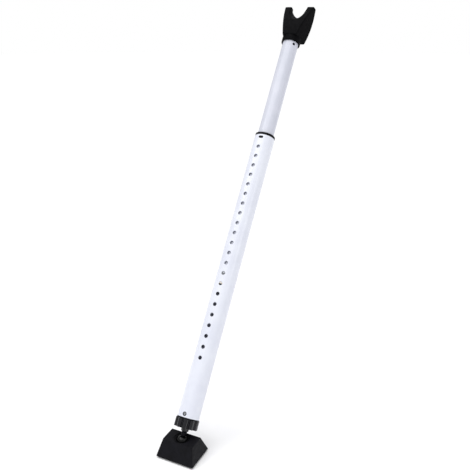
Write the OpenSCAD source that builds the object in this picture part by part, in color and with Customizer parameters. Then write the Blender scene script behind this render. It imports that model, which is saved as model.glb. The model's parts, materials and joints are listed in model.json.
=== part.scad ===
// Door security bar: a telescopic steel bar that leans from the floor to the door knob.
// The origin is the centre of the foot's sole on the floor, X runs along the foot's long
// side (parallel to the door), +Y points to the door and +Z is up. Everything above the
// ball joint is drawn upright along its own Z axis from the ball's centre, then leaned.

/* [Posture] */
// Lean of the bar from upright, towards the door
lean = 36; // [20:1:42]

/* [Outer tube] */
// Outside diameter of the outer tube
outer_d = 38; // [36:0.5:40]
// Length of the outer tube
outer_len = 526.8; // [500:1:560]
// Wall of both tubes
tube_wall = 1.2; // [1:0.1:1.5]
// Distance between neighbouring adjustment holes
hole_pitch = 19.05; // [18:0.05:20]
// Number of adjustment holes in the row
hole_count = 22; // [12:1:23]
// Diameter of the adjustment holes
hole_d = 7; // [6.8:0.1:8]
// Height of the lowest adjustment hole above the tube's lower end
first_hole = 101.5; // [95:0.5:110]

/* [Inner tube] */
// Outside diameter of the inner tube
inner_d = 30.7; // [30:0.1:31]
// Length of the inner tube
inner_len = 540; // [500:1:560]
// Hole of the row that the snap button sits in, counted from 0 at the bottom
button_hole = 8; // [1:1:18]

/* [Yoke] */
// Width of the yoke over its two tips
yoke_w = 63; // [60:0.5:70]
// Depth of the yoke at its base
yoke_depth = 38; // [36:0.5:42]
// Radius of the round bottom of the notch
notch_r = 16; // [14:0.1:16.5]

/* [Jack knob] */
// Diameter over the lobes of the jack knob
knob_d = 41.4; // [40:0.2:42]
// Number of lobes round the knob
knob_lobes = 10; // [8:1:12]

/* [Foot] */
// Length of the rubber foot at its widest, along X
foot_len = 70.6; // [66:0.2:80]
// Depth of the rubber foot at its widest, along Y
foot_dep = 55; // [52:0.5:64]
// Length of the foot's top face
foot_top_len = 56.6; // [50:0.2:57]
// Depth of the foot's top face
foot_top_dep = 29.9; // [29.6:0.1:34]
// Height of the foot
foot_h = 32; // [31.5:0.1:33]

/* [Hidden] */
$fn = 64;
eps = 0.01;          // overlap of a cutting solid past the face it cuts
run_gap = 0.1;       // radial clearance of a running fit
push_gap = 0.05;     // radial clearance of a pushed-in fit

// Foot levels above the floor
sole_chamfer = 3.4;  // the sole's edge is cut back by this much in height
sole_inset = 2.9;    // and by this much on each side
pad_h = 3;
plate_top = 5;
flange_top = 8.5;
pocket_top = 22;
ball_z = 27;         // height of the ball's centre above the floor
crater_z = 30.3;     // bottom of the flared crater in the foot's top face

// Foot sizes across
pad_len = 56;
pad_dep = 40;
flange_r = 21;
housing_r = 15.2;
housing_neck_r = 13;
cup_r = 11;
ring_r = 12;
crater_r = 13.9;     // radius of the crater's rim
base_screw_x = 17;
base_screw_y = 8;
base_screw_r = 1.5;
base_head_r = 3;
base_head_h = 1.5;
ring_screw_a = 24;   // the four ring screws stand this angle to each side of the Y axis
ring_screw_pcr = 12.05;
ring_screw_r = 0.65;
ring_head_r = 1.2;
ring_flange_h = 0.8;
close_gap = 0.02;    // radial clearance between pieces fixed to each other

// Ball joint
ball_r = 9.5;
neck_r = 4.5;
lip_h = 2.6;         // how far the retaining ring's round seat reaches above the centre
shank_r = 3.5;
clip_z = -6.4;
clip_h = 1;
counter_r = 6;       // counterbore in the underside of the ball, for the clip

// Jack: levels along the bar's axis, from the ball's centre
stud_r = 5;
stud_shoulder = 12;
knob_z0 = 23;
tube_z0 = 38.8;
plug_flange_h = 1.6;
knob_gap = 0.3;
knob_z1 = tube_z0 - plug_flange_h - knob_gap;
hub_z0 = 16;
hub_r0 = 6.2;
hub_r1 = 8.6;
hub_recess_z = 27;   // depth of the ring-shaped recess in the knob's underside
skirt_r = 15;
nut_z0 = 22;
nut_z1 = 34;
nut_across = 16;     // over the corners of the hexagon
neck_out_r = 8.9;
knob_neck_z1 = 47;
circlip_z = 44.6;
circlip_h = 1;
circlip_groove_r = 8.2;
circlip_r = 10.8;
plug_bore_h = 5;
plug_cup_r = 13;
key_z0 = 58;
key_h = 4;
key_flat = 4;        // distance of the stud's flat from its axis
jack_travel = 39;
stop_z0 = key_z0 + key_h + jack_travel + 1;
stop_h = 5;
stop_r = 8;
stud_z1 = stop_z0 + stop_h + 2;
plug_screw_z = tube_z0 + 5.6;
plug_screw_r = 1.5;
plug_head_r = 2.1;
plug_hole_r = 3.3;   // hole in the tube round each screw's head

// Tubes
outer_r = outer_d / 2;
outer_ir = outer_r - tube_wall;
inner_r = inner_d / 2;
inner_ir = inner_r - tube_wall;
tube_z1 = tube_z0 + outer_len;
hole0_z = tube_z0 + first_hole;
button_z = hole0_z + button_hole * hole_pitch;
inner_z0 = button_z - 17;
inner_z1 = inner_z0 + inner_len;
bush_h = 11;
bush_lip = 2;

// Collar at the top of the outer tube
collar_h = 5;
collar_sleeve = 16;
slot_z = tube_z1 - 5.5;
slot_len = 9;
slot_h = 5;

// Snap button, pointing to -Y
button_r = 3.2;
button_top = outer_r + 0.9;
button_flange_r = 4.5;
button_flange_h = 1.2;
button_flange_y = 13.2;   // outer face of the flange, just inside the inner tube's wall
spring_w = 8;
spring_t = 0.6;

// Yoke: levels along the bar's axis
mouth_z = inner_z1 - 44.7;
yoke_neck_h = 11;
yoke_z0 = mouth_z + yoke_neck_h;
yoke_z1 = yoke_z0 + 72;
yoke_neck_r = 18.5;
yoke_base_w = 34;
yoke_bow = 0.5;
yoke_draft = 10;     // turn of the side faces, which part towards the door
yoke_steps = 18;     // levels at which the outline's curve is taken
tip_depth = 10;
notch_z = yoke_z1 - 4;
core_r = inner_ir - push_gap;
core_z0 = mouth_z - 18;
core_t = 7;
rivet_z = mouth_z - 6;
rivet_hole_r = 2;

// ---------------------------------------------------------------- placing

// Leans what is drawn along Z from the ball's centre.
module on_bar() {
    translate([0, 0, ball_z]) rotate([-lean, 0, 0]) children();
}

// A round bar between two levels.
module rod(r, z0, z1) {
    translate([0, 0, z0]) cylinder(r = r, h = z1 - z0);
}

// A ring between two levels.
module ring(r_out, r_in, z0, z1) {
    difference() {
        rod(r_out, z0, z1);
        rod(r_in, z0 - eps, z1 + eps);
    }
}

// A cone or taper between two levels.
module taper(r0, r1, z0, z1) {
    translate([0, 0, z0]) cylinder(r1 = r0, r2 = r1, h = z1 - z0);
}

// A radial rod through the -Y side of a tube, from radius y0 out to radius y1.
module radial(r, y0, y1, z) {
    translate([0, -y0, z]) rotate([90, 0, 0]) cylinder(r = r, h = y1 - y0);
}

// ---------------------------------------------------------------- foot

// Half a trapezium's outline against height, mirrored to close it.
function slope_side(base, top) = [
    [base / 2 - sole_inset, 0], [base / 2, sole_chamfer], [top / 2, foot_h]
];
function mirrored(side) = concat(
    side, [for (i = [len(side) - 1 : -1 : 0]) [-side[i][0], side[i][1]]]
);

module foot_solid() {
    intersection() {
        rotate([90, 0, 0])
            linear_extrude(foot_dep + 2, center = true)
                polygon(mirrored(slope_side(foot_len, foot_top_len)));
        rotate([90, 0, 90])
            linear_extrude(foot_len + 2, center = true)
                polygon(mirrored(slope_side(foot_dep, foot_top_dep)));
    }
}

// Moulded rubber block with a pocket for the housing and a crater for the ball.
module foot_block() {
    color("#1C1D20")
    difference() {
        foot_solid();
        translate([-pad_len / 2, -pad_dep / 2, -eps]) cube([pad_len, pad_dep, plate_top + eps]);
        rod(flange_r + push_gap, 0, flange_top);
        rod(housing_r + push_gap, 0, pocket_top);
        rod(housing_neck_r + push_gap, 0, crater_z);
        taper(housing_neck_r + push_gap, crater_r, crater_z - eps, foot_h + eps);
    }
}

// Softer rubber pad with cross grooves, let into the sole.
module tread_pad() {
    groove_w = 2.4;
    groove_h = 1.4;
    color("#26262A")
    difference() {
        translate([-pad_len / 2 + 0.1, -pad_dep / 2 + 0.1, 0])
            cube([pad_len - 0.2, pad_dep - 0.2, pad_h]);
        for (x = [-24 : 8 : -8])
            for (side = [-1, 1])
                translate([side * x - groove_w / 2, -pad_dep / 2, -eps])
                    cube([groove_w, pad_dep, groove_h + eps]);
    }
}

// The four places of the base screws.
module at_base_screws() {
    for (x = [-1, 1])
        for (y = [-1, 1])
            translate([x * base_screw_x, y * base_screw_y, 0]) children();
}

// Steel plate above the pad that carries the housing.
module base_plate() {
    color("#A9ACB0")
    difference() {
        translate([-pad_len / 2 + 0.1, -pad_dep / 2 + 0.1, pad_h])
            cube([pad_len - 0.2, pad_dep - 0.2, plate_top - pad_h]);
        at_base_screws() rod(base_screw_r + push_gap, 0, plate_top + 1);
        at_base_screws()
            taper(base_head_r + push_gap, base_screw_r, pad_h - eps, pad_h + base_head_h + push_gap);
    }
}

// Countersunk screws that hold the housing's flange to the plate.
module base_screws() {
    color("#8C8F94")
    at_base_screws() union() {
        taper(base_head_r, base_screw_r, pad_h, pad_h + base_head_h);
        rod(base_screw_r, pad_h, flange_top - 0.6);
    }
}

// Nylon housing: flange, round body and neck, bored for the cup and the ring.
module socket_housing() {
    color("#141517")
    difference() {
        union() {
            rod(flange_r, plate_top, flange_top);
            rod(housing_r, plate_top, pocket_top);
            rod(housing_neck_r, pocket_top - 1, crater_z);
        }
        rod(cup_r + run_gap, 11.9, ball_z + eps);
        rod(ring_r - 0.7, ball_z, crater_z + 1);
        at_base_screws() rod(base_screw_r + close_gap, 0, flange_top - 0.5);
        at_ring_screws() rod(ring_screw_r + close_gap, ball_z - 3, crater_z + 1);
    }
}

// The four places of the ring's screws, two in front and two behind.
module at_ring_screws() {
    for (a = [90 - ring_screw_a, 90 + ring_screw_a, 270 - ring_screw_a, 270 + ring_screw_a])
        translate([ring_screw_pcr * cos(a), ring_screw_pcr * sin(a), 0]) children();
}

// Ring with a round seat that keeps the ball in its cup.
module retaining_ring() {
    color("#141517")
    difference() {
        union() {
            rod(ring_r - 0.75, ball_z + 0.1, crater_z);
            rod(housing_neck_r - 0.1, crater_z, crater_z + ring_flange_h);
        }
        translate([0, 0, ball_z]) sphere(r = ball_r + push_gap);
        taper(ball_r - 0.35, ball_r + 1.5, ball_z + lip_h, crater_z + ring_flange_h + 0.1);
        at_ring_screws() rod(ring_screw_r + close_gap, ball_z, crater_z + 2);
    }
}

// Small dome-headed screws of the retaining ring.
module ring_screws() {
    color("#232327")
    at_ring_screws() union() {
        rod(ring_screw_r, ball_z - 2.8, crater_z + ring_flange_h);
        rod(ring_head_r, crater_z + ring_flange_h, foot_h - 0.2);
    }
}

// Nylon cup under the ball; it turns with the ball about the upright axis.
module ball_cup() {
    color("#D9D6CC")
    difference() {
        rod(cup_r, 12, ball_z);
        translate([0, 0, ball_z]) sphere(r = ball_r + push_gap);
    }
}

// ---------------------------------------------------------------- ball and stud

// Ball, bored for the stud's shank and counterbored for its clip.
module ball() {
    color("#2A2B2E")
    on_bar() difference() {
        sphere(r = ball_r);
        rod(shank_r + push_gap, -ball_r, ball_r);
        rod(counter_r, -ball_r - 1, clip_z + clip_h);
        rod(neck_r + push_gap, 7.6, ball_r + 1);
    }
}

// Spring clip in the groove of the shank, under the ball.
module shank_clip() {
    color("#8C8F94")
    on_bar() difference() {
        ring(5.4, shank_r - 0.6, clip_z, clip_z + clip_h - 0.1);
        translate([-1.2, 0, clip_z - eps]) cube([2.4, 6, clip_h]);
    }
}

// Threaded jack stud with a shank for the ball, a shoulder and a long flat.
module jack_stud() {
    color("#232327")
    on_bar() difference() {
        union() {
            rod(shank_r, -7.6, 8);
            rod(neck_r, 7.7, stud_shoulder);
            rod(stud_r, stud_shoulder, stud_z1);
        }
        ring(shank_r + 1, shank_r - 0.6, clip_z - 0.05, clip_z + clip_h - 0.05);
        translate([key_flat, -stud_r, 50]) cube([stud_r, 2 * stud_r, stop_z0 - 50]);
    }
}

// Lock nut at the stud's top that stops the key disc.
module stop_nut() {
    color("#8C8F94")
    on_bar() difference() {
        translate([0, 0, stop_z0]) cylinder(r = stop_r, h = stop_h, $fn = 6);
        rod(stud_r + close_gap, stop_z0 - 1, stop_z0 + stop_h + 1);
    }
}

// ---------------------------------------------------------------- knob

// Envelope of the knob, chamfered at both ends.
module knob_envelope() {
    wide = knob_d / 2 + 1;
    cut = 2.2;
    rotate_extrude() polygon([
        [0, knob_z0], [wide - cut, knob_z0], [wide, knob_z0 + cut],
        [wide, knob_z1 - cut], [wide - cut, knob_z1], [0, knob_z1]
    ]);
}

// Lobed knob with a tapered hub below and a neck that turns in the end plug.
module adjusting_knob() {
    lobe_r = 5;
    web_r = knob_d / 2 - 2.6;
    color("#17181A")
    on_bar() difference() {
        union() {
            intersection() {
                union() {
                    rod(web_r, knob_z0 - 1, knob_z1 + 1);
                    for (i = [0 : knob_lobes - 1])
                        rotate([0, 0, 360 / knob_lobes * (i + 0.5)])
                            translate([knob_d / 2 - lobe_r, 0, 0])
                                rod(lobe_r, knob_z0 - 1, knob_z1 + 1);
                }
                knob_envelope();
            }
            taper(hub_r0, hub_r1, hub_z0, hub_recess_z + 1);
            rod(neck_out_r, knob_z1 - 1, knob_neck_z1);
        }
        ring(skirt_r, hub_r1 + 0.8, knob_z0 - 1, hub_recess_z);
        rod(stud_r + 0.4, hub_z0 - 1, nut_z0 + 1);
        translate([0, 0, nut_z0]) cylinder(r = nut_across / 2, h = nut_z1 - nut_z0, $fn = 6);
        rod(stud_r + 0.4, nut_z1 - 1, knob_neck_z1 + 1);
        ring(neck_out_r + 1, circlip_groove_r, circlip_z - 0.05, circlip_z + circlip_h + 0.05);
    }
}

// Hexagonal brass nut moulded into the knob.
module knob_nut() {
    color("#B5924C")
    on_bar() difference() {
        translate([0, 0, nut_z0 + 0.02])
            cylinder(r = nut_across / 2 - 0.02, h = nut_z1 - nut_z0 - 0.04, $fn = 6);
        rod(stud_r + run_gap, nut_z0 - 1, nut_z1 + 1);
    }
}

// Spring clip that keeps the knob's neck in the plug.
module knob_circlip() {
    color("#8C8F94")
    on_bar() difference() {
        ring(circlip_r, circlip_groove_r + close_gap, circlip_z, circlip_z + circlip_h);
        translate([-2, 0, circlip_z - eps]) cube([4, circlip_r + 1, circlip_h + 2 * eps]);
    }
}

// ---------------------------------------------------------------- outer tube

// Flanged plug in the lower end of the tube, bored for the knob's neck.
module end_plug() {
    color("#101113")
    on_bar() difference() {
        union() {
            rod(outer_r, tube_z0 - plug_flange_h, tube_z0);
            rod(outer_ir - push_gap, tube_z0 - eps, key_z0);
        }
        rod(neck_out_r + run_gap, tube_z0 - plug_flange_h - 1, tube_z0 + plug_bore_h);
        rod(plug_cup_r, tube_z0 + plug_bore_h - eps, key_z0 + 1);
        for (a = [0, 180])
            rotate([0, 0, a])
                radial(plug_screw_r + close_gap, plug_cup_r - 1, outer_r, plug_screw_z);
    }
}

// Steel disc whose D-shaped hole keeps the stud from turning in the tube.
module key_disc() {
    color("#8C8F94")
    on_bar() difference() {
        rod(outer_ir - push_gap, key_z0, key_z0 + key_h);
        difference() {
            rod(stud_r + run_gap, key_z0 - 1, key_z0 + key_h + 1);
            translate([key_flat + run_gap, -stud_r - 1, key_z0 - 2])
                cube([stud_r, 2 * stud_r + 2, key_h + 4]);
        }
    }
}

// Two pan-head screws into the plug, sunk in holes of the tube's wall.
module plug_screws() {
    color("#9DA0A5")
    on_bar() for (a = [0, 180])
        rotate([0, 0, a]) union() {
            radial(plug_screw_r, plug_cup_r + 0.4, outer_ir, plug_screw_z);
            radial(plug_head_r, outer_ir - push_gap + eps, outer_r - 0.1, plug_screw_z);
        }
}

// White painted steel tube with its row of holes.
module outer_tube() {
    color("#F4F4FA")
    on_bar() difference() {
        ring(outer_r, outer_ir, tube_z0, tube_z1);
        for (i = [0 : hole_count - 1])
            radial(hole_d / 2, outer_ir - 4, outer_r + 2, hole0_z + i * hole_pitch);
        for (a = [0, 180])
            rotate([0, 0, a]) radial(plug_hole_r, outer_ir - 4, outer_r + 2, plug_screw_z);
        slot_cut(slot_h / 2, outer_ir - 4, outer_r + 2);
    }
}

// The oval slot for the collar's latch.
module slot_cut(r, y0, y1) {
    reach = slot_len / 2 - slot_h / 2;
    for (x = [-reach, reach])
        translate([x, 0, 0]) radial(r, y0, y1, slot_z);
    translate([-reach, -y1, slot_z - r]) cube([2 * reach, y1 - y0, 2 * r]);
}

// Black collar that guides the inner tube, latched into the slot.
module collar_bush() {
    color("#141517")
    on_bar() difference() {
        union() {
            rod(outer_r, tube_z1, tube_z1 + collar_h);
            rod(outer_ir - push_gap, tube_z1 - collar_sleeve, tube_z1 + eps);
            slot_cut(slot_h / 2 - 0.2, outer_ir - 1, outer_r - 0.4);
        }
        rod(inner_r + run_gap, tube_z1 - collar_sleeve - 1, tube_z1 + collar_h + 1);
    }
}

// ---------------------------------------------------------------- inner tube

// White painted steel tube with one hole for the button and two for the rivets.
module inner_tube() {
    color("#E4E4EF")
    on_bar() difference() {
        ring(inner_r, inner_ir, inner_z0, inner_z1);
        radial(button_r + run_gap, inner_ir - 4, inner_r + 2, button_z);
        at_rivets() radial(rivet_hole_r + close_gap, inner_ir - 4, inner_r + 2, rivet_z);
    }
}

// Nylon bush on the inner tube's lower end, which slides in the outer tube.
module guide_bush() {
    color("#EDEBE4")
    on_bar() union() {
        ring(
            outer_ir - run_gap, inner_r + close_gap,
            inner_z0 - bush_lip, inner_z0 + bush_h - bush_lip
        );
        ring(inner_r + 0.5, inner_ir - 1.2, inner_z0 - bush_lip, inner_z0);
    }
}

// Bowed strip inside the tube that pushes the button out.
module button_spring() {
    bow_top = button_flange_y - button_flange_h - 0.02;
    bow_end = -inner_ir + 1.6;
    reach = 26;
    color("#A9ACB0")
    on_bar() translate([-spring_w / 2, 0, button_z])
        rotate([90, 0, 90]) linear_extrude(spring_w) polygon([
            [-bow_top, 5], [-bow_top, -5], [0, -reach], [-bow_end - 4, -reach - 6],
            [-bow_end, -reach - 2], [-bow_end, -reach - 2 + spring_t],
            [-bow_end - 4, -reach - 6 + 2 * spring_t], [spring_t, -reach + spring_t],
            [-bow_top + spring_t, -4.6], [-bow_top + spring_t, 5]
        ]);
}

// Domed steel button with a flange that stays inside the inner tube.
module snap_button() {
    dome_r = 4.6;
    color("#8E9094")
    on_bar() intersection() {
        union() {
            radial(button_r, button_flange_y - 1, button_top + 1, button_z);
            radial(button_flange_r, button_flange_y - button_flange_h, button_flange_y, button_z);
        }
        union() {
            translate([0, -button_top + dome_r, button_z]) sphere(r = dome_r);
            radial(button_flange_r + 1, button_flange_y - 3, button_top - 2.2, button_z);
        }
    }
}

// ---------------------------------------------------------------- yoke

// The two rivets, at the front right and back left of the tube.
module at_rivets() {
    for (a = [48, 228]) rotate([0, 0, a]) children();
}

// Half the width of the yoke at share t of its height: a flare with a slight outward bow.
function yoke_half_w(t) =
    (yoke_base_w + (yoke_w - yoke_base_w) * t) / 2 + yoke_bow * t * sin(180 * t);
// Half the depth of the yoke at share t of its height.
function yoke_half_d(t) = (yoke_depth - (yoke_depth - tip_depth) * pow(t, 2.2)) / 2;
function yoke_level(t) = yoke_z0 + t * (yoke_z1 - yoke_z0);

// The notch's space: level once the bar leans, so that it takes a door knob's level neck.
module notch_cut(r) {
    translate([0, 0, notch_z]) rotate([lean, 0, 0]) union() {
        translate([0, 50, 0]) rotate([90, 0, 0]) cylinder(r = r, h = 100);
        translate([-r, -50, 0]) cube([2 * r, 100, 50]);
    }
}

// Rigid nylon core: a plug in the inner tube and a forked plate inside the rubber.
module core_solid(grow) {
    plate_z0 = inner_z1 + 1 - grow;
    union() {
        rod(core_r, core_z0, inner_z1 + 1);
        difference() {
            translate([0, core_t / 2 + grow, 0]) rotate([90, 0, 0])
                linear_extrude(core_t + 2 * grow) polygon([
                    [-13 - grow, plate_z0 - 2], [13 + grow, plate_z0 - 2],
                    [26.5 + grow, yoke_z1 - 12 + grow], [-26.5 - grow, yoke_z1 - 12 + grow]
                ]);
            notch_cut(notch_r + 4 - grow);
        }
    }
}

module yoke_core() {
    color("#3A3B3E")
    on_bar() difference() {
        core_solid(0);
        at_rivets() radial(rivet_hole_r + close_gap, core_r - 5, core_r + 3, rivet_z);
    }
}

// Dark blind rivets through the tube into the core.
module core_rivets() {
    color("#2B2C30")
    on_bar() at_rivets() union() {
        radial(rivet_hole_r, core_r - 4.8, inner_r + 0.1, rivet_z);
        radial(2.6, inner_r + 0.02, inner_r + 0.7, rivet_z);
    }
}

// Rubber yoke over the core: a neck sleeve, a flaring body whose sides part towards the door, and
// a round-bottomed notch.
module yoke() {
    shares = [for (i = [0 : yoke_steps]) i / yoke_steps];
    side_w = [for (t = shares) [yoke_half_w(t), yoke_level(t)]];
    side_d = [for (t = shares) [yoke_half_d(t), yoke_level(t)]];
    color("#0F1011")
    on_bar() difference() {
        union() {
            intersection() {
                union() {
                    for (s = [0, 1]) mirror([s, 0, 0]) rotate([0, 0, -yoke_draft])
                        rotate([90, 0, 0]) linear_extrude(60, center = true)
                            polygon(concat([[-9, yoke_z0]], side_w, [[-9, yoke_z1]]));
                }
                rotate([90, 0, 90]) linear_extrude(90, center = true)
                    polygon(mirrored(side_d));
            }
            rod(yoke_neck_r, mouth_z, yoke_z0 + 1);
        }
        rod(inner_r + close_gap, mouth_z - 1, inner_z1 + 1);
        core_solid(close_gap);
        notch_cut(notch_r);
    }
}

tread_pad();
base_plate();
base_screws();
foot_block();
socket_housing();
retaining_ring();
ring_screws();
ball_cup();
ball();
shank_clip();
jack_stud();
stop_nut();
adjusting_knob();
knob_nut();
knob_circlip();
end_plug();
key_disc();
plug_screws();
outer_tube();
collar_bush();
inner_tube();
guide_bush();
button_spring();
snap_button();
yoke_core();
core_rivets();
yoke();
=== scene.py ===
"""Door security bar: a telescopic steel bar that leans from the floor to a door's knob."""
import json

import bmesh
import bpy
import numpy as np
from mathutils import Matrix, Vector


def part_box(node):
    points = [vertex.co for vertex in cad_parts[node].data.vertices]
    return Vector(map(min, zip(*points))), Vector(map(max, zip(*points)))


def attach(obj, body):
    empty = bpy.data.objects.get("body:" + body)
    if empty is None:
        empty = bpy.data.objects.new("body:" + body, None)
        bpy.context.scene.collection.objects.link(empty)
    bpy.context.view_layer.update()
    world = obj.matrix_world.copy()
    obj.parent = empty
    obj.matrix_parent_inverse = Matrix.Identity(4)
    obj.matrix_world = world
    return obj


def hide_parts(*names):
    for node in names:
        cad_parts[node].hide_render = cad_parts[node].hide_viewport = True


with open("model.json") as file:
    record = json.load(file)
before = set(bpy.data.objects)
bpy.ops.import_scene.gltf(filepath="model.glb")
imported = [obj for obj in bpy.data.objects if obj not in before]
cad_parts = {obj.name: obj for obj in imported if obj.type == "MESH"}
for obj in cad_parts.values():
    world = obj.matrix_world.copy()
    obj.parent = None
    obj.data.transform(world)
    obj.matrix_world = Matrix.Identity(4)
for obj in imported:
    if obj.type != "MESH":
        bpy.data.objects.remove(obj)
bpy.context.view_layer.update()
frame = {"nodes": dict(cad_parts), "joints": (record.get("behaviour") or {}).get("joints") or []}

# ---------------------------------------------------------------- Rubber foot
# A moulded rubber block, a four-sided truncated pyramid with a crater for the ball joint in its top
# and a stepped pocket for the plate and the housing in its sole. The mould leaves soft edges.
mm = 0.001
joints = {joint["name"]: joint for joint in frame["joints"]}
ball_at = np.array(joints["foot_tilt"]["pos_m"])
foot_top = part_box("foot_block")[1]
crater_r = 13.9 * mm
crater_low_r = 13.05 * mm
crater_level = 30.3 * mm
neck_bore_r = 13.05 * mm
housing_bore_r = 15.25 * mm
flange_bore_r = 21.05 * mm


def linear(colour):
    """The linear colour of an sRGB hex value: each channel over 255, with its power curve undone."""
    channels = np.array([int(colour[i:i + 2], 16) for i in (1, 3, 5)]) / 255
    straight = np.where(channels <= 0.04045, channels / 12.92, ((channels + 0.055) / 1.055) ** 2.4)
    return (*straight, 1.0)


def add_node(tree, kind, settings, sockets):
    """Adds a node, gives it its settings, and sets each of its sockets or links it to an output."""
    node = tree.nodes.new(kind)
    for name, value in settings.items():
        setattr(node, name, value)
    for name, value in sockets.items():
        if isinstance(value, bpy.types.NodeSocket):
            tree.links.new(value, node.inputs[name])
        else:
            node.inputs[name].default_value = value
    return node


def start_material(name, finish):
    """A material with one Principled shader, which gets the finish's constant values; returns both."""
    material = bpy.data.materials.new(name)
    material.use_nodes = True
    shader = material.node_tree.nodes["Principled BSDF"]
    for socket, value in finish.items():
        shader.inputs[socket].default_value = value
    return material, shader


def mottled(tree, dark, light, size, detail, low=0.35, high=0.65):
    """A noise of the given grain size in metres, drawn between two colours or two greys."""
    place = add_node(tree, "ShaderNodeTexCoord", {}, {})
    noise = add_node(tree, "ShaderNodeTexNoise", {}, {
        "Vector": place.outputs["Object"], "Scale": 1 / size, "Detail": detail, "Roughness": 0.55,
    })
    ramp = add_node(tree, "ShaderNodeValToRGB", {}, {"Fac": noise.outputs["Fac"]})
    ramp.color_ramp.elements[0].position = low
    ramp.color_ramp.elements[0].color = dark
    ramp.color_ramp.elements[1].position = high
    ramp.color_ramp.elements[1].color = light
    return ramp.outputs["Color"]


def grey(value):
    """A colour of three equal channels."""
    return (value, value, value, 1.0)


def rough_skin(tree, shader, size, depth, detail=3.0):
    """Bumps the shader's normal with a noise of the given grain size and depth, both in metres."""
    grain = mottled(tree, grey(0.0), grey(1.0), size, detail, 0.25, 0.75)
    bump = add_node(tree, "ShaderNodeBump", {}, {"Height": grain, "Distance": depth, "Strength": 1.0})
    tree.links.new(bump.outputs["Normal"], shader.inputs["Normal"])


def moulded_rubber(name, dark, light, grain):
    """Vulcanised rubber: near black, with a soft sheen, a spark-eroded grain and faint bloom."""
    material, shader = start_material(name, {"IOR": 1.52, "Specular IOR Level": 0.13})
    tree = material.node_tree
    tree.links.new(mottled(tree, linear(dark), linear(light), 14 * mm, 5.0), shader.inputs["Base Color"])
    tree.links.new(mottled(tree, grey(0.5), grey(0.68), 5 * mm, 4.0), shader.inputs["Roughness"])
    rough_skin(tree, shader, grain, 0.12 * grain)
    return material


def eased(path, cut, steps=5, closed=False):
    """Rounds the corners of a path. Each corner becomes a parabola that leaves the path a cut before
    the corner and joins it a cut after; one more point beyond each end keeps the flats flat."""
    path = np.asarray(path, float)
    cut = np.broadcast_to(np.asarray(cut, float), len(path))[:, None]
    before = np.roll(path, 1, 0) - path
    after = np.roll(path, -1, 0) - path
    before /= np.maximum(np.linalg.norm(before, axis=1), 1e-9)[:, None]
    after /= np.maximum(np.linalg.norm(after, axis=1), 1e-9)[:, None]
    start, end = path + before * cut, path + after * cut
    t = np.linspace(0, 1, steps + 1)[:, None, None]
    curve = (1 - t) ** 2 * start + 2 * t * (1 - t) * path + t ** 2 * end
    outer = 1.4
    curve = np.concatenate([[path + before * cut * outer], curve, [path + after * cut * outer]])
    curve = np.moveaxis(curve, 0, 1)
    if closed:
        return curve.reshape(-1, path.shape[1])
    return np.concatenate([path[:1], curve[1:-1].reshape(-1, path.shape[1]), path[-1:]])


def rounded_frame(corner_steps, long_steps, short_steps):
    """The columns of a rounded rectangle: which corner or side each point belongs to, from -1 to 1
    along both sides, and the unit vector from the corner's centre to the point."""
    signs = np.array([[1, 1], [-1, 1], [-1, -1], [1, -1]], float)
    share, lean_out = [], []
    for k in range(4):
        turn = np.radians(90 * k + np.linspace(0, 90, corner_steps + 1))
        share.append(np.repeat(signs[k:k + 1], len(turn), 0))
        lean_out.append(np.stack([np.cos(turn), np.sin(turn)], -1))
        run = np.linspace(0, 1, (long_steps if k % 2 == 0 else short_steps) + 1)[1:-1, None]
        share.append(signs[k] * (1 - run) + signs[(k + 1) % 4] * run)
        lean_out.append(np.repeat(lean_out[-1][-1:], len(run), 0))
    return np.concatenate(share), np.concatenate(lean_out)


def build_piece(name, grids, body, material, stands_for, sharp=40):
    """Joins grids of points into one closed mesh. A grid is its points (rows, columns, 3), whether its
    rows and its columns close on themselves, and the faces to keep; shared edges are merged."""
    points, faces, first = [], [], 0
    for grid, rows_close, columns_close, keep in grids:
        rows, columns = grid.shape[:2]
        index = np.arange(rows * columns).reshape(rows, columns)
        index = np.concatenate([index, index[:1]]) if rows_close else index
        index = np.concatenate([index, index[:, :1]], 1) if columns_close else index
        quads = np.stack([index[:-1, :-1], index[:-1, 1:], index[1:, 1:], index[1:, :-1]], -1)
        quads = quads[keep] if keep is not None else quads.reshape(-1, 4)
        points.append(grid.reshape(-1, 3))
        faces.append(quads + first)
        first += rows * columns
    mesh = bpy.data.meshes.new(name)
    mesh.from_pydata(np.concatenate(points), [], np.concatenate(faces))
    joined = bmesh.new()
    joined.from_mesh(mesh)
    bmesh.ops.remove_doubles(joined, verts=joined.verts, dist=2e-6)
    bmesh.ops.dissolve_degenerate(joined, edges=joined.edges, dist=1e-7)
    loose = [vert for vert in joined.verts if not vert.link_faces]
    bmesh.ops.delete(joined, geom=loose, context="VERTS")
    bmesh.ops.recalc_face_normals(joined, faces=joined.faces)
    joined.to_mesh(mesh)
    joined.free()
    mesh.shade_smooth()
    mesh.set_sharp_from_angle(angle=np.radians(sharp))
    mesh.materials.append(material)
    piece = bpy.data.objects.new(name, mesh)
    bpy.context.scene.collection.objects.link(piece)
    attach(piece, body)
    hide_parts(*stands_for)


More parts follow.
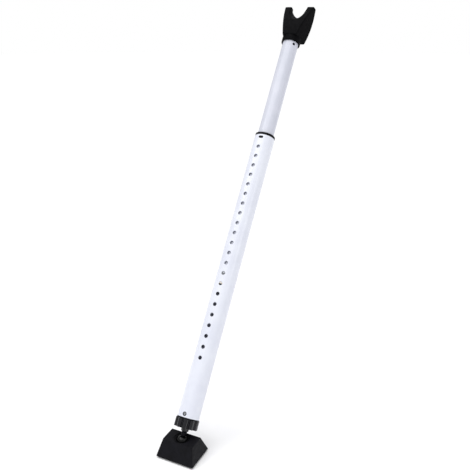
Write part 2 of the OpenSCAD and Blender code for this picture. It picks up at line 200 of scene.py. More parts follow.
def foot_surface():
    """A profile of rings carried round the block: rounded rectangles outside, which turn into circles
    at the crater's rim, then the bores of the pocket down to the sole again."""
    wide, deep, top = foot_top
    pad_wide, pad_deep = 28 * mm, 20 * mm
    top_wide, top_deep = 28.3 * mm, 14.95 * mm
    sole_in = 2.9 * mm
    pad_level, flange_level, shelf_level = 5 * mm, 8.5 * mm, 22 * mm
    # half length, half depth, corner radius, level, share of a circle
    rings = eased(np.array([
        [pad_wide, pad_deep, 0.8 * mm, 0, 0],
        [wide - sole_in, deep - sole_in, 1 * mm, 0, 0],
        [wide, deep, 1.2 * mm, 3.4 * mm, 0],
        [top_wide, top_deep, 1 * mm, top, 0],
        [crater_r, crater_r, 0, top, 1],
        [crater_low_r, crater_low_r, 0, crater_level, 1],
        [neck_bore_r, neck_bore_r, 0, crater_level, 1],
        [neck_bore_r, neck_bore_r, 0, shelf_level, 1],
        [housing_bore_r, housing_bore_r, 0, shelf_level, 1],
        [housing_bore_r, housing_bore_r, 0, flange_level, 1],
        [flange_bore_r, flange_bore_r, 0, flange_level, 1],
        [flange_bore_r, flange_bore_r, 0, pad_level, 1],
        [pad_wide, pad_deep, 0.8 * mm, pad_level, 0],
    ]), np.array([0.3, 0.5, 0.6, 0.8, 0.5, 0.1, 0.1, 0.1, 0.1, 0.1, 0.1, 0.1, 0.1]) * mm, closed=True)
    half_long, half_deep, corner, level, circle = rings.T[:, :, None]
    share, out = rounded_frame(8, 16, 10)
    across = np.stack([
        share[:, 0] * (half_long - corner) + corner * out[:, 0],
        share[:, 1] * (half_deep - corner) + corner * out[:, 1],
    ], -1)
    turn = np.arctan2(share[:, 1] * 13.5 + out[:, 1], share[:, 0] * 26 + out[:, 0])
    around = half_long[..., None] * np.stack([np.cos(turn), np.sin(turn)], -1)
    flat = across * (1 - circle[..., None]) + around * circle[..., None]
    return np.concatenate([flat, np.broadcast_to(level, flat.shape[:2])[..., None]], -1)


# Near black with a dull sheen, so only its faces' slopes part it into tones.
foot_rubber = moulded_rubber("moulded_foot_rubber", "#09090D", "#101016", 0.5 * mm)
build_piece(
    "rubber_foot", [(foot_surface(), True, True, None)], "foot", foot_rubber,
    ["foot_block"], sharp=50)

# ---------------------------------------------------------------- Tread pad
# A softer rubber pad with grooves across it, glued into the sole. It is duller than the block and
# carries the dust that a sole picks up.
# A little greyer and duller than the block.
sole_rubber = moulded_rubber("soft_sole_rubber", "#141417", "#222226", 0.7 * mm)


def finish_nodes(material, *nodes):
    """Gives carried-over pieces one material."""
    for node in nodes:
        piece = frame["nodes"][node]
        if not piece.material_slots:
            piece.data.materials.append(material)
        for holder in piece.material_slots:
            holder.material = material


finish_nodes(sole_rubber, "tread_pad")

# ---------------------------------------------------------------- Base plate and screws
# Stamped steel plate and four countersunk screws that carry the ball's housing. Both are plated with
# bright zinc, so they are a cool light grey with cloudy, slightly rough patches.


def plated_steel(name, dark, light, smooth, dull, cloud):
    """Plated steel: a metal whose tone and roughness drift in cloudy patches of the given size."""
    material, shader = start_material(name, {"Metallic": 1.0})
    tree = material.node_tree
    tree.links.new(mottled(tree, linear(dark), linear(light), cloud, 4.0), shader.inputs["Base Color"])
    tree.links.new(mottled(tree, grey(smooth), grey(dull), 0.4 * cloud, 5.0), shader.inputs["Roughness"])
    rough_skin(tree, shader, 0.15 * cloud, 0.002 * cloud)
    return material


# A cool light grey with cloudy patches.
zinc_plate = plated_steel("zinc_plated_steel", "#9B9EA4", "#C9CCD1", 0.26, 0.44, 5 * mm)
finish_nodes(zinc_plate, "base_plate", "base_screws")

# ---------------------------------------------------------------- Ball housing, ring and ring screws
# The housing is moulded in black nylon and holds the ball's cup. A nylon ring with a round seat keeps
# the ball down; four small dome-headed screws hold it, two in front and two behind.


def moulded_plastic(name, dark, light, smooth, dull, grain, gloss=0.5):
    """Injection-moulded plastic: an even colour, a satin gloss that drifts a little, fine mould grain."""
    material, shader = start_material(name, {"IOR": 1.5, "Specular IOR Level": gloss})
    tree = material.node_tree
    tree.links.new(mottled(tree, linear(dark), linear(light), 8 * mm, 4.0), shader.inputs["Base Color"])
    tree.links.new(mottled(tree, grey(smooth), grey(dull), 3 * mm, 4.0), shader.inputs["Roughness"])
    rough_skin(tree, shader, grain, 0.06 * grain)
    return material


# A deep satin black that hardly lights up.
black_nylon = moulded_plastic("moulded_black_nylon", "#060608", "#0C0C0F", 0.34, 0.48, 0.6 * mm, 0.14)
finish_nodes(black_nylon, "socket_housing")


def turned(profile, columns=96):
    """A profile of radii and levels carried round an upright axis, starting at -Y."""
    radius, level = np.asarray(profile, float).T[:, :, None]
    turn = np.linspace(0, 2 * np.pi, columns, endpoint=False)
    return np.stack([radius * np.sin(turn), -radius * np.cos(turn), level + 0 * turn], -1)


def ring_profile():
    """The retaining ring's section: a barrel, a flange on top, a bevel and the arc of the seat."""
    seat_r = 9.55 * mm
    rise = np.linspace(2.6, 0.1, 9) * mm
    seat = np.stack([np.sqrt(seat_r ** 2 - rise ** 2), rise], -1)
    body = np.array([[11.25, 0.1], [11.25, 3.3], [12.9, 3.3], [12.9, 4.1], [10.95, 4.1]]) * mm
    body = eased(body, np.array([0, 0.1, 0.1, 0.25, 0.25]) * mm)
    return np.concatenate([body, seat])


build_piece(
    "ball_ring", [(turned(ring_profile()) + ball_at, True, True, None)], "foot",
    black_nylon, ["retaining_ring"])

screw_turns = np.radians([-24, 24, 156, 204])
screw_circle = 12.05 * mm
screw_head = eased(np.array([
    [0, 4.5], [0.5, 4.5], [0.5, 4.78], [0.85, 4.74], [1.18, 4.35], [1.18, 4.1], [0.63, 4.1],
    [0.63, -2.8], [0, -2.8],
]) * mm, 0.04 * mm, steps=3)
# A dark metal that shows as small dull glints.
black_oxide = plated_steel("black_oxide_steel", "#1C1C20", "#2C2C31", 0.34, 0.5, 1.2 * mm)
build_piece("ring_screw_set", [
    (turned(screw_head, 32) + ball_at + screw_circle * np.array([np.sin(a), -np.cos(a), 0]),
     False, True, None) for a in screw_turns
], "foot", black_oxide, ["ring_screws"])

# ---------------------------------------------------------------- Ball cup
# The cup under the ball is undyed nylon, a warm translucent white, turned smooth where the ball
# runs. It turns in the housing about the upright axis.


def undyed_nylon(name, dark, light):
    """Undyed nylon: a creamy white that lets a little light in under a satin skin."""
    material, shader = start_material(name, {
        "IOR": 1.53, "Subsurface Weight": 0.25, "Subsurface Scale": 0.8 * mm,
    })
    tree = material.node_tree
    tree.links.new(mottled(tree, linear(dark), linear(light), 6 * mm, 3.0), shader.inputs["Base Color"])
    tree.links.new(mottled(tree, grey(0.34), grey(0.48), 2 * mm, 3.0), shader.inputs["Roughness"])
    rough_skin(tree, shader, 0.5 * mm, 0.02 * mm)
    return material


# A warm creamy white.
cup_nylon = undyed_nylon("undyed_nylon", "#D8D3C4", "#EBE7DB")
finish_nodes(cup_nylon, "ball_cup")

# ---------------------------------------------------------------- Ball
# A dark nylon ball, bored for the stud's shank. A spring clip under it holds it on the shank. From here
# up every piece is drawn upright from the ball's centre and then leaned with the bar.
bar_up = np.array(joints["jack_lift"]["axis"])
lean = np.arctan2(bar_up[1], bar_up[2])
ball_r = 9.5 * mm


def leaned(points):
    """Turns upright points about X by the bar's lean, then moves them to the ball's centre."""
    x, y, z = np.moveaxis(np.asarray(points, float), -1, 0)
    forward = y * np.cos(lean) + z * np.sin(lean)
    upward = z * np.cos(lean) - y * np.sin(lean)
    return np.stack([x, forward, upward], -1) + ball_at


def ball_profile():
    """The ball's section: an arc outside, then the neck's bore, the shank's bore and the counterbore."""
    top_r, low_r, shank_r = 4.55 * mm, 6 * mm, 3.55 * mm
    turn = np.linspace(np.arccos(low_r / ball_r), -np.arccos(top_r / ball_r), 40)
    arc = np.stack([ball_r * np.cos(turn), -ball_r * np.sin(turn)], -1)
    bore = [[top_r, 7.6 * mm], [shank_r, 7.6 * mm], [shank_r, -5.4 * mm], [low_r, -5.4 * mm]]
    return np.concatenate([arc, bore])


# A smooth black with one broad highlight.
joint_nylon = moulded_plastic("ball_nylon", "#030304", "#070708", 0.12, 0.18, 0.8 * mm, 0.25)
build_piece(
    "pivot_ball", [(leaned(turned(ball_profile())), True, True, None)], "ball",
    joint_nylon, ["ball"])
finish_nodes(zinc_plate, "shank_clip")

# ---------------------------------------------------------------- Jack stud and stop nut
# The stud is a rolled-thread steel screw with a flat milled along it, so that it can slide in the key
# disc but not turn. Black oxide under a film of oil keeps it dark. A nut ends its travel.
stud_r = 5 * mm
thread_pitch = 3 * mm


def span(node):
    """A round piece's radius and its two levels on the bar. Half the width of its box is the radius,
    and the box's height is its length times the lean's cosine, plus the slanted ends' overhang."""
    low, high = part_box(node)
    radius = (high.x - low.x) / 2
    overhang = radius * np.sin(lean)
    start = (low.z - ball_at[2] + overhang) / np.cos(lean)
    end = (high.z - ball_at[2] - overhang) / np.cos(lean)
    return radius, start, end


def stud_surface():
    """A turned shank and shoulder, then a thread: the radius falls from the crest by a rounded
    triangle wave of the level less the turn's share of the pitch. The flat cuts x off at its distance."""
    thread_start, depth, flat, columns = 12.4 * mm, 0.55 * mm, 4 * mm, 48
    flat_start, flat_end = 50 * mm, 102 * mm
    stud_end = span("jack_stud")[2]
    shank = eased(np.array([
        [0, -7.6], [3.5, -7.6], [3.5, 8], [4.5, 8], [4.5, 12], [5, 12],
    ]) * mm, np.array([0, 0.4, 0.05, 0.05, 0.05, 0]) * mm, steps=3)
    levels = np.arange(thread_start, stud_end - 0.6 * mm, thread_pitch / 12)
    turn = np.linspace(0, 2 * np.pi, columns, endpoint=False)
    wave = np.abs(((levels[:, None] / thread_pitch - turn / (2 * np.pi)) % 1) - 0.5) * 2
    fade = np.clip((levels[:, None] - thread_start) / (1.5 * mm), 0, 1)
    radius = stud_r - depth * np.clip(wave * 1.3 - 0.15, 0, 1) * fade
    thread = np.stack([radius * np.sin(turn), -radius * np.cos(turn), levels[:, None] + 0 * turn], -1)
    end = turned([[4.3 * mm, stud_end - 0.2 * mm], [4 * mm, stud_end], [0, stud_end]], columns)
    surface = np.concatenate([turned(shank, columns), thread, end])
    milled = (surface[..., 2] > flat_start) & (surface[..., 2] < flat_end)
    surface[..., 0] = np.where(milled, np.minimum(surface[..., 0], flat), surface[..., 0])
    return surface


# A dark metal on which the thread shows as fine bright lines.
stud_steel = plated_steel("oiled_black_thread_steel", "#17171A", "#25252A", 0.3, 0.46, 3 * mm)
build_piece(
    "threaded_stud", [(leaned(stud_surface()), False, True, None)], "stud",
    stud_steel, ["jack_stud"], sharp=60)
finish_nodes(zinc_plate, "stop_nut")

# ---------------------------------------------------------------- Jack knob
# A lobed knob moulded in black plastic over a brass nut. A tapered hub below it runs down the stud,
# and a neck above turns in the tube's plug, where a spring clip keeps it.
knob_r = 20.7 * mm
lobes = 10
knob_low = 21.5 * mm
plug_low = span("end_plug")[1]
knob_high = plug_low - 0.3 * mm


def knob_surface():
    """A section carried round the bar. Its outer part follows the lobes: each is a circle set out from
    the middle, joined to the web between them by a smooth maximum; the inner part stays round."""
    lobe_r, web_r, columns = 4.4 * mm, 16.7 * mm, 240
    set_out = knob_r - lobe_r
    turn = np.linspace(0, 2 * np.pi, columns, endpoint=False)
    step = 2 * np.pi / lobes
    off = (turn % step) - step / 2
    lobe = set_out * np.cos(off) + np.sqrt(np.maximum(lobe_r ** 2 - (set_out * np.sin(off)) ** 2, 0))
    blend = 0.5 * mm
    outline = np.maximum(lobe, web_r) + blend * np.exp(-np.abs(lobe - web_r) / blend) / 2
    outline = np.minimum(outline, knob_r)
    # radius, level, share of the lobed outline
    section = eased(np.array([
        [5.4 * mm, 16 * mm, 0], [6.2 * mm, 16 * mm, 0], [8.55 * mm, 27 * mm, 0],
        [15 * mm, 27 * mm, 0], [15 * mm, knob_low, 0], [knob_r, knob_low, 1],
        [knob_r, knob_high, 1], [8.9 * mm, knob_high, 0], [8.9 * mm, 47 * mm, 0],
        [5.4 * mm, 47 * mm, 0], [5.4 * mm, 34 * mm, 0], [8.02 * mm, 34 * mm, 0],
        [8.02 * mm, 22 * mm, 0], [5.4 * mm, 22 * mm, 0],
    ]), np.array([0.1, 0.5, 0.8, 0.8, 0.6, 0.8, 0.8, 0.1, 0.3, 0.1, 0, 0, 0, 0]) * mm, closed=True)
    radius, level, share = section.T[:, :, None]
    share = np.clip(share, 0, 1)
    follow = radius * (1 - share) + share * (outline - (knob_r - radius))
    return np.stack([follow * np.sin(turn), -follow * np.cos(turn), level + 0 * turn], -1)


# A blue-black gloss that picks out the edges of the lobes.
knob_plastic = moulded_plastic("glossy_knob_plastic", "#08080D", "#0F0F17", 0.14, 0.24, 0.8 * mm, 0.6)
build_piece(
    "lobed_jack_knob", [(leaned(knob_surface()), True, True, None)], "knob",
    knob_plastic, ["adjusting_knob"], sharp=50)
# A warm yellow metal.
brass = plated_steel("drawn_brass", "#A8863F", "#C9A661", 0.2, 0.34, 4 * mm)
finish_nodes(brass, "knob_nut")
finish_nodes(zinc_plate, "knob_circlip")

# ---------------------------------------------------------------- End plug, key disc and plug screws
# A flanged plug of black nylon closes the tube's lower end and carries the knob's neck. The steel disc
# above it keeps the stud from turning. Two small screws, sunk in holes of the tube, hold the plug.
tube_r, tube_low, tube_high = span("outer_tube")
tube_wall = 1.2 * mm
screw_level = tube_low + 5.6 * mm
plug_r = tube_r - tube_wall - 0.05 * mm
plug_section = eased(np.array([
    [9 * mm, plug_low], [tube_r, plug_low], [tube_r, tube_low], [plug_r, tube_low],
    [plug_r, 58 * mm], [13 * mm, 58 * mm], [13 * mm, 43.8 * mm], [9 * mm, 43.8 * mm],
]), np.array([0.2, 0.35, 0.2, 0.05, 0.3, 0.3, 0.1, 0.1]) * mm, closed=True)
build_piece(
    "flanged_plug", [(leaned(turned(plug_section, 128)), True, True, None)], "outer",
    black_nylon, ["end_plug"])
finish_nodes(zinc_plate, "key_disc")


def pointing(points, level, turn):
    """Lays an upright shape on its side: its axis points out of the bar at a level and a turn from -Y,
    its height becomes the distance from the bar's middle, and its y runs up the bar."""
    x, y, z = np.moveaxis(np.asarray(points, float), -1, 0)
    out = np.array([np.sin(turn), -np.cos(turn), 0])
    side = np.array([np.cos(turn), np.sin(turn), 0])
    up = np.array([0, 0, 1.0])
    return z[..., None] * out + x[..., None] * side + (y + level)[..., None] * up


# A bright grey metal with fine patches.
small_steel = plated_steel("small_screw_steel", "#9A9DA3", "#C6C9CE", 0.22, 0.36, 1.2 * mm)
plug_screw = eased(np.array([
    [0, 18.3], [0.7, 18.3], [0.7, 18.75], [1.4, 18.7], [1.95, 18.3], [1.95, 17.8],
    [1.45, 17.8], [1.45, 13.5], [0, 13.5],
]) * mm, 0.08 * mm, steps=3)
build_piece("plug_screw_pair", [
    (leaned(pointing(turned(plug_screw, 40), screw_level, turn)), False, True, None)
    for turn in (0, np.pi)
], "outer", small_steel, ["plug_screws"])

# ---------------------------------------------------------------- Outer tube
# A seam-welded steel tube with a row of punched holes, then powder-coated white. The coat has a fine
# orange peel, rounds the holes' rims, and is a cool white with a faint lilac cast.


def powder_coat(name, dark, light):
    """Powder coat on steel: a hard satin plastic skin with a shallow orange peel about 1.4 mm across."""
    material, shader = start_material(name, {"IOR": 1.5, "Coat Weight": 0.25, "Coat Roughness": 0.12})
    tree = material.node_tree
    tree.links.new(mottled(tree, linear(dark), linear(light), 40 * mm, 4.0), shader.inputs["Base Color"])
    tree.links.new(mottled(tree, grey(0.3), grey(0.42), 7 * mm, 4.0), shader.inputs["Roughness"])
    rough_skin(tree, shader, 1.4 * mm, 0.016 * mm)
    return material


def slot_outline(half_long, half_high, grow, sides=12):
    """Points round an oval hole, four sides of the same count: a circle of half the height, grown by a
    rounded rim, whose halves are drawn apart by what the length has more."""
    turn = np.radians(-135) + np.arange(4 * sides) * np.pi / (2 * sides)
    apart = (half_long - half_high) * np.clip(np.cos(turn) * 4, -1, 1)
    radius = half_high + grow
    return np.stack([radius * np.cos(turn) + apart, radius * np.sin(turn)], -1)


def drilled_tube(outside, inside, low, high, strip_half, strips, holes, sides=12, rim=0.25 * mm):
    """A tube wall as two cylinders of one grid each. Every hole owns a window of the grid, where the
    squares between the window's edge and the hole's outline are drawn from one to the other. Rims with
    a rounded lip join the two cylinders through the holes and round the ends."""
    rows = [low + rim, high - rim]
    for strip, level, half_high, reach, height in holes:
        rows.extend(np.linspace(level - half_high, level + half_high, sides + 1))
    rows = np.unique(np.round(rows, 8))
    gaps = np.maximum(np.ceil(np.diff(rows) / (9 * mm)).astype(int), 1)
    fill = [np.linspace(a, b, n, endpoint=False) for a, b, n in zip(rows[:-1], rows[1:], gaps)]
    rows = np.append(np.concatenate(fill), rows[-1])
    offsets = np.linspace(-strip_half, strip_half, sides + 1)
    between = 14

    def turns(radius):
        """The turn of every column at a radius: the strips' own, and even steps from one to the next."""
        local = np.arcsin(offsets / radius)
        parts = []
        for k, centre in enumerate(strips):
            following = strips[k + 1] if k + 1 < len(strips) else strips[0] + 2 * np.pi
            gap = np.linspace(centre + local[-1], following + local[0], between + 2)
            parts.extend([centre + local, gap[1:-1]])
        return np.concatenate(parts)

    def ring(radius, level):
        """One ring of the tube at a radius and a level."""
        turn = turns(radius)
        return np.stack([radius * np.sin(turn), -radius * np.cos(turn), level + 0 * turn], -1)

    def on_wall(outline, radius, level, centre):
        """Points of a strip, given across and along, laid on the cylinder of a radius."""
        across, along = np.moveaxis(outline, -1, 0)
        depth = np.sqrt(radius ** 2 - across ** 2)
        return np.stack([
            across * np.cos(centre) + depth * np.sin(centre),
            across * np.sin(centre) - depth * np.cos(centre), along + level,
        ], -1)

    keep = np.ones((len(rows) - 1, (sides + 1 + between) * len(strips)), bool)
    middle = (rows[:-1] + rows[1:]) / 2
    for strip, level, half_high, reach, height in holes:
        column = strip * (sides + 1 + between)
        window = np.abs(middle - level) < half_high
        keep[window, column:column + sides] = False
    grids = [
        (np.stack([ring(outside, level) for level in rows]), False, True, keep),
        (np.stack([ring(inside, level) for level in rows]), False, True, keep),
    ]
    lip = np.array([[0, 1], [0.3, 0.3], [1, 0]]) * rim
    for end, sign in ((low, 1), (high, -1)):
        edge = [ring(outside - inset, end + sign * back) for inset, back in lip]
        edge += [ring(inside + inset, end + sign * back) for inset, back in lip[::-1]]
        grids.append((np.stack(edge), False, True, None))
    steps = np.linspace(0, 1, 6)[:, None, None] ** 1.2
    side = np.linspace(-1, 1, sides, endpoint=False)
    square = np.concatenate([
        np.stack([side, 0 * side - 1], -1), np.stack([0 * side + 1, side], -1),
        np.stack([-side, 0 * side + 1], -1), np.stack([0 * side - 1, -side], -1),
    ])
    for strip, level, half_high, reach, height in holes:
        edge = square * np.array([strip_half, half_high])
        centre = strips[strip]
        for radius, grow in ((outside, rim), (inside, 0)):
            hole = slot_outline(reach, height, grow)
            patch = on_wall(hole * (1 - steps) + edge * steps, radius, level, centre)
            grids.append((patch, False, True, None))
        rim_rows = [
            on_wall(slot_outline(reach, height, grow), outside - inset, level, centre)
            for inset, grow in lip]
        rim_rows.append(on_wall(slot_outline(reach, height, 0), inside, level, centre))
        grids.append((np.stack(rim_rows), False, True, None))
    return [(leaned(grid[0]), *grid[1:]) for grid in grids]


holes_above_rest = 10
pitch = joints["tube_slide"]["range_m"][1] / holes_above_rest
hole_count = 22
hole_r = 3.5 * mm
screw_hole_r = 3.6 * mm
first_hole = tube_low + 101.5 * mm
slot_level = tube_high - 5.5 * mm
tube_holes = [(0, first_hole + i * pitch, pitch / 2, hole_r, hole_r) for i in range(hole_count)]
tube_holes += [(0, slot_level, 4.5 * mm, 4.5 * mm, 2.5 * mm)]
tube_holes += [(k, screw_level, 4.9 * mm, screw_hole_r, screw_hole_r) for k in (0, 1)]
# A cool white with a faint lilac cast.
outer_coat = powder_coat("white_powder_coat", "#E0E3EF", "#E8EBF5")
build_piece("outer_tube_coated", drilled_tube(
    tube_r, tube_r - tube_wall, tube_low, tube_high, 7.2 * mm, [0, np.pi], tube_holes,
), "outer", outer_coat, ["outer_tube"])

# ---------------------------------------------------------------- Collar
# A black nylon collar caps the outer tube and guides the inner one. Its sleeve reaches down inside the
# tube, where an oval latch on it snaps into the tube's slot.
collar_low = span("collar_bush")[1]
cap_high = tube_high + 5 * mm
bush_bore = 15.47 * mm
collar_section = eased(np.array([
    [bush_bore, collar_low], [plug_r, collar_low], [plug_r, tube_high], [tube_r, tube_high],
    [tube_r, cap_high], [bush_bore, cap_high],
]), np.array([0.2, 0.3, 0.05, 0.25, 0.9, 0.5]) * mm, closed=True)


def latch_surface():
    """The latch: an oval carried outward from the sleeve, drawn in at its top edge and closed flat."""
    rows = [
        (slot_outline(4.3 * mm, 2.3 * mm, -2.3 * mm) * 0, 17 * mm),
        (slot_outline(4.3 * mm, 2.3 * mm, 0), 17 * mm),
        (slot_outline(4.3 * mm, 2.3 * mm, 0), 18.25 * mm),
        (slot_outline(4.3 * mm, 2.3 * mm, -0.12 * mm), 18.5 * mm),
        (slot_outline(4.3 * mm, 2.3 * mm, -0.4 * mm), 18.6 * mm),
        (slot_outline(4.3 * mm, 2.3 * mm, -0.4 * mm) * 0, 18.6 * mm),
    ]
    return np.stack([np.concatenate([flat, 0 * flat[:, :1] + out], -1) for flat, out in rows])


build_piece("latched_collar", [
    (leaned(turned(collar_section, 128)), True, True, None),
    (leaned(pointing(latch_surface(), slot_level, 0)), False, True, None),
], "outer", black_nylon, ["collar_bush"])

# ---------------------------------------------------------------- Inner tube and guide bush
# The sliding tube is the same powder-coated steel, painted a little greyer as shade: its darker tone
# stands in for the weaker light on the upper bar. A nylon bush pressed on its lower end centres it in the
# outer tube.
inner_r, inner_low, inner_high = span("inner_tube")
button_hole = 8
button_level = first_hole + button_hole * pitch
rivet_level = inner_high - 50.7 * mm
rivet_turn = np.radians(48)
inner_holes = [
    (0, button_level, 4.8 * mm, 3.3 * mm, 3.3 * mm),
    (1, rivet_level, 4 * mm, 2 * mm, 2 * mm),
    (2, rivet_level, 4 * mm, 2 * mm, 2 * mm),
]
# The same white, one step greyer, as painted shade for the less lit upper bar.
inner_coat = powder_coat("painted_shade_powder_coat", "#CDD0DC", "#D6D8E4")
build_piece("inner_tube_coated", drilled_tube(
    inner_r, inner_r - tube_wall, inner_low, inner_high, 5.2 * mm,
    [0, rivet_turn, rivet_turn + np.pi], inner_holes,
), "inner", inner_coat, ["inner_tube"])
finish_nodes(cup_nylon, "guide_bush")

# ---------------------------------------------------------------- Snap button and its spring
# A domed steel button, nickel-plated, whose flange stays inside the inner tube. A bowed spring strip
# behind it pushes it out through whichever hole of the outer tube it meets.


def button_profile():
    """The button's section: a spherical dome, a straight side and the flange behind the wall."""
    side_r, flange_r, back, front, dome_r = 3.2 * mm, 4.5 * mm, 12 * mm, 13.2 * mm, 4.6 * mm
    button_top = 19.9 * mm
    turn = np.linspace(0, np.arcsin(side_r / dome_r), 16)
    dome = np.stack([dome_r * np.sin(turn), button_top - dome_r * (1 - np.cos(turn))], -1)
    rest = np.array([[side_r, front], [flange_r, front], [flange_r, back], [0, back]])
    return np.concatenate([dome, rest])


# A mid grey metal with a soft shine.
nickel = plated_steel("nickel_plated_steel", "#85888D", "#A9ACB1", 0.22, 0.36, 2.5 * mm)
build_piece("domed_snap_button", [
    (leaned(pointing(turned(button_profile(), 64), button_level, 0)), False, True, None),
], "button", nickel, ["snap_button"])
finish_nodes(zinc_plate, "button_spring")

# ---------------------------------------------------------------- Yoke core and rivets
# A glass-filled nylon core plugs the inner tube and stiffens the yoke from inside. Two blind rivets,
# black-coated, hold the tube to it, and their low domed heads show just under the yoke.
# A dull dark grey.
core_nylon = moulded_plastic("glass_filled_nylon", "#34353A", "#45464B", 0.45, 0.6, 0.7 * mm)
finish_nodes(core_nylon, "yoke_core")
rivet_section = eased(np.array([
    [0, 0.62], [0.7, 0.62], [0.95, 0.7], [1.9, 0.5], [2.55, 0.14], [2.55, 0.03], [1.95, 0.03],
    [1.95, -6], [0, -6],
]) * mm, 0.06 * mm, steps=3)
rivet_section[:, 1] += inner_r
# A dark grey metal, close to black.
rivet_black = plated_steel("black_coated_rivet", "#1D1E22", "#33343A", 0.36, 0.5, 1.5 * mm)
build_piece("blind_rivet_pair", [
    (leaned(pointing(turned(rivet_section, 40), rivet_level, turn)), False, True, None)
    for turn in (rivet_turn, rivet_turn + np.pi)
], "inner", rivet_black, ["core_rivets"])

# ---------------------------------------------------------------- Yoke
# A moulded rubber fork with a round-bottomed notch that lies level and takes the door knob's neck. It
# flares from a sleeve on the tube to two blunt tips, thins towards them, and has a fine pebbled grip.
mouth = inner_high - 44.7 * mm
yoke_low = mouth + 11 * mm
yoke_tall = 72 * mm
yoke_high = yoke_low + yoke_tall
notch_r = 16 * mm
notch_level = yoke_high - 4 * mm
side_draft = np.tan(np.radians(10))
tip_round = 1.8 * mm


def yoke_half_width(level):
    """Half the yoke's width at a level: a straight flare with a slight outward bow."""
    share = np.clip((level - yoke_low) / yoke_tall, 0, 1)
    return (17.6 + 13.9 * share + 1.3 * np.sin(np.pi * share)) * mm


def yoke_half_depth(level):
    """Half the yoke's depth at a level: it thins faster and faster towards the tips."""
    share = np.clip((level - yoke_low) / yoke_tall, 0, 1)
    return (19 - 14 * share ** 2.2) * mm


def yoke_sections():
    """Where each section of the yoke starts on the notch and ends on the outline, how far it is drawn
    in, and how much it slopes. Down one prong the sections are level; round the notch they fan out to
    the outline's lower part, taken at even lengths; then up the other prong. The notch is round once
    the bar leans, so across the bar it is an ellipse. The tips are rounded by a quarter turn."""
    rise = np.linspace(np.pi / 2, 0, 8)
    tip_levels = yoke_high - tip_round * (1 - np.sin(rise))
    tip_in = tip_round * (1 - np.cos(rise))
    wall_levels = np.linspace(tip_levels[-1], notch_level, 4)[1:]
    levels = np.concatenate([tip_levels, wall_levels])
    draw_in = np.concatenate([tip_in, 0 * wall_levels])
    prong_start = np.stack([0 * levels - notch_r, levels], -1)
    prong_end = np.stack([-yoke_half_width(levels), levels], -1)
    down = np.linspace(notch_level, yoke_low, 24)
    side = np.stack([-yoke_half_width(down), down], -1)
    corner = eased(np.array([side[-2], side[-1], [0, yoke_low]]), 1.2 * mm, 6)[:-1]
    half = np.concatenate([side[:-2], corner])
    outline = np.concatenate([half, [[0, yoke_low]], half[::-1] * [-1, 1]])
    length = np.concatenate([[0], np.cumsum(np.linalg.norm(np.diff(outline, axis=0), axis=1))])
    fan = np.linspace(0, 1, 86)[1:-1]
    fan_end = np.stack([np.interp(fan * length[-1], length, outline[:, k]) for k in (0, 1)], -1)
    turn = np.pi * (1 + fan)
    fan_start = np.stack([
        notch_r * np.cos(turn), notch_level + notch_r / np.cos(lean) * np.sin(turn),
    ], -1)
    start = np.concatenate([prong_start, fan_start, prong_start[::-1] * [-1, 1]])
    end = np.concatenate([prong_end, fan_end, prong_end[::-1] * [-1, 1]])
    slope = np.clip(np.minimum(fan, 1 - fan) / 0.16, 0, 1)
    slope = np.concatenate([0 * draw_in, slope ** 2 * (3 - 2 * slope), 0 * draw_in])
    draw_in = np.concatenate([draw_in, 0 * fan, draw_in[::-1]])
    return start, end, draw_in, slope


def yoke_surface():
    """A rounded rectangle across each section: its length runs from the notch to the outline and its
    half depth follows the level. The level near the notch rises by the depth times the lean's
    tangent, so the notch's floor is level, and the sides part by the depth times the draft."""
    start, end, draw_in, slope = yoke_sections()
    share, out = rounded_frame(6, 6, 18)
    middle, reach = (start + end) / 2, (end - start) / 2
    half = np.linalg.norm(reach, axis=1)[:, None]
    along_dir = reach / half
    inset = draw_in[:, None]
    thick = yoke_half_depth(middle[:, 1])[:, None]
    notch_corner = np.minimum(3.2 * mm, 0.5 * thick) - 0.6 * inset
    outer_corner = np.minimum(3 * mm, 0.5 * thick) - 0.6 * inset
    toward = (share[None, :, 0] + 1) / 2
    corner = notch_corner * (1 - toward) + outer_corner * toward
    along = (notch_corner + inset - half) * (1 - toward) + (half - inset - outer_corner) * toward
    along = along + corner * out[None, :, 0]
    flat = middle[:, None] + along_dir[:, None] * along[..., None]
    part = np.clip((along + half) / (2 * half), 0, 1)
    rise = slope[:, None] * (1 - part) * np.tan(lean)
    depth = 0 * along
    for _ in range(8):
        reach_in = yoke_half_depth(flat[..., 1] + rise * depth) - inset
        depth = share[None, :, 1] * (reach_in - corner) + corner * out[None, :, 1]
    side_share = end[:, :1] / yoke_half_width(end[:, 1:])
    across = flat[..., 0] + side_draft * depth * part * side_share
    points = np.stack([across, depth, flat[..., 1] + rise * depth], -1)
    points[..., 2] = np.minimum(points[..., 2], yoke_high)
    first = np.broadcast_to(points[:1].mean(1, keepdims=True), points[:1].shape)
    last = np.broadcast_to(points[-1:].mean(1, keepdims=True), points[-1:].shape)
    return np.concatenate([first, points, last])


yoke_neck_r = 18.5 * mm
neck_section = eased(np.array([
    [inner_r + 0.05 * mm, mouth], [yoke_neck_r, mouth], [yoke_neck_r, yoke_low],
    [yoke_neck_r - 1 * mm, yoke_low + 8 * mm], [inner_r + 0.05 * mm, yoke_low + 8 * mm],
]), np.array([0.6, 0.9, 0.5, 0.2, 0.2]) * mm, closed=True)


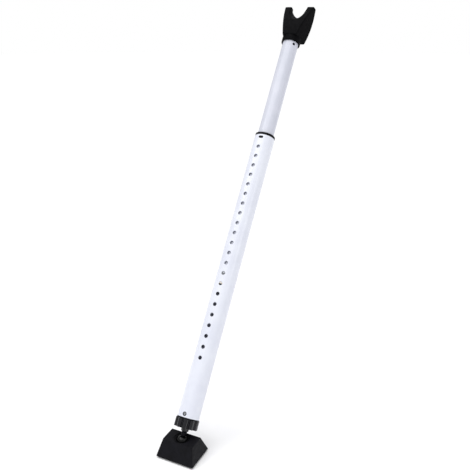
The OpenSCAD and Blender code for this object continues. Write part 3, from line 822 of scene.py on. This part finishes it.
def pebbled_rubber(name, dark, light):
    """Moulded thermoplastic rubber with a pebbled grip: matt near black, cells about 1.3 mm across."""
    material, shader = start_material(name, {"IOR": 1.5, "Specular IOR Level": 0.05})
    tree = material.node_tree
    tree.links.new(mottled(tree, linear(dark), linear(light), 10 * mm, 4.0), shader.inputs["Base Color"])
    tree.links.new(mottled(tree, grey(0.55), grey(0.72), 4 * mm, 3.0), shader.inputs["Roughness"])
    place = add_node(tree, "ShaderNodeTexCoord", {}, {})
    cells = add_node(tree, "ShaderNodeTexVoronoi", {"feature": "SMOOTH_F1"}, {
        "Vector": place.outputs["Object"], "Scale": 1 / (1.3 * mm), "Smoothness": 0.6,
    })
    bump = add_node(tree, "ShaderNodeBump", {"invert": True}, {
        "Height": cells.outputs["Distance"], "Distance": 0.18 * mm, "Strength": 0.9,
    })
    tree.links.new(bump.outputs["Normal"], shader.inputs["Normal"])
    return material


# A matt near black without a highlight.
yoke_rubber = pebbled_rubber("pebbled_yoke_rubber", "#060608", "#0B0B0D")
build_piece("rubber_yoke", [
    (leaned(yoke_surface()), False, True, None),
    (leaned(turned(neck_section, 128)), True, True, None),
], "inner", yoke_rubber, ["yoke"], sharp=60)

# ---------------------------------------------------------------- Floor
# A plain white studio floor, a wide flat disc of matt paper under the sole. It lies a tenth of a
# millimetre low, so that it doesn't share the sole's plane.
floor_r = 12.0
floor_level = -0.1 * mm
rim_count = 128


def paper(name, dark, light):
    """Matt white paper: a fine fibre grain and no gloss to speak of."""
    material, shader = start_material(name, {"IOR": 1.5, "Specular IOR Level": 0.1})
    tree = material.node_tree
    tree.links.new(mottled(tree, linear(dark), linear(light), 60 * mm, 3.0), shader.inputs["Base Color"])
    tree.links.new(mottled(tree, grey(0.85), grey(0.95), 8 * mm, 2.0), shader.inputs["Roughness"])
    return material


floor_mesh = bpy.data.meshes.new("studio_floor")
rim_turn = np.linspace(0, 2 * np.pi, rim_count, endpoint=False)
floor_points = np.stack([
    floor_r * np.cos(rim_turn), floor_r * np.sin(rim_turn), 0 * rim_turn + floor_level,
], -1)
floor_mesh.from_pydata(floor_points, [], [list(range(rim_count))])
floor_mesh.materials.append(paper("white_paper", "#FAFAFC", "#FDFDFE"))
floor = bpy.data.objects.new("studio_floor", floor_mesh)
bpy.context.scene.collection.objects.link(floor)

# ---------------------------------------------------------------- Light
# White surroundings that light the bar at half their strength, a broad overhead light that keeps the
# floor white, and a soft box on either side for faint glints on the black plastics.
world = bpy.data.worlds.new("white_surroundings")
world.use_nodes = True
sky = world.node_tree.nodes["Background"]
strength_on_bar, strength_behind = 0.5, 1.0
path = add_node(world.node_tree, "ShaderNodeLightPath", {}, {})
seen = add_node(world.node_tree, "ShaderNodeMapRange", {}, {
    "Value": path.outputs["Is Camera Ray"], "To Min": strength_on_bar, "To Max": strength_behind,
})
world.node_tree.links.new(seen.outputs["Result"], sky.inputs["Strength"])
sky.inputs["Color"].default_value = (1.0, 1.0, 1.0, 1.0)
bpy.context.scene.world = world
bpy.context.scene.view_settings.view_transform = "Standard"


def add_light(name, kind, place, aim, power, settings):
    """Adds a light at a place, turned so that it shines at a point."""
    light = bpy.data.lights.new(name, kind)
    light.energy = power
    for key, value in settings.items():
        setattr(light, key, value)
    lamp = bpy.data.objects.new(name, light)
    bpy.context.scene.collection.objects.link(lamp)
    away = np.array(place, float) - np.array(aim, float)
    flat = np.hypot(away[0], away[1])
    lamp.location = place
    lamp.rotation_euler = (np.arctan2(flat, away[2]), 0, np.arctan2(away[0], -away[1]))


add_light("overhead", "SUN", (-0.3, -0.5, 3), (0, 0, 0), 1.9, {"angle": np.radians(70)})
add_light("left_box", "AREA", (-0.61, -0.18, 1.17), ball_at, 1.3, {"size": 0.4})
add_light("right_box", "AREA", (1.07, 0.03, 0.79), ball_at, 1.3, {"size": 0.4})

# ---------------------------------------------------------------- Camera
# Stands to the right of the bar's front at the height of the yoke, and looks down at the foot. The
# lens and the sensor are in millimetres, the place in metres.
camera = bpy.data.cameras.new("camera")
camera.lens = 46.206
camera.sensor_width = 36
viewer = bpy.data.objects.new("camera", camera)
bpy.context.scene.collection.objects.link(viewer)
viewer.location = (0.45141, -0.71645, 0.70348)
viewer.rotation_euler = (np.radians(90 - 19.96), 0, np.radians(26.12))
bpy.context.scene.camera = viewer
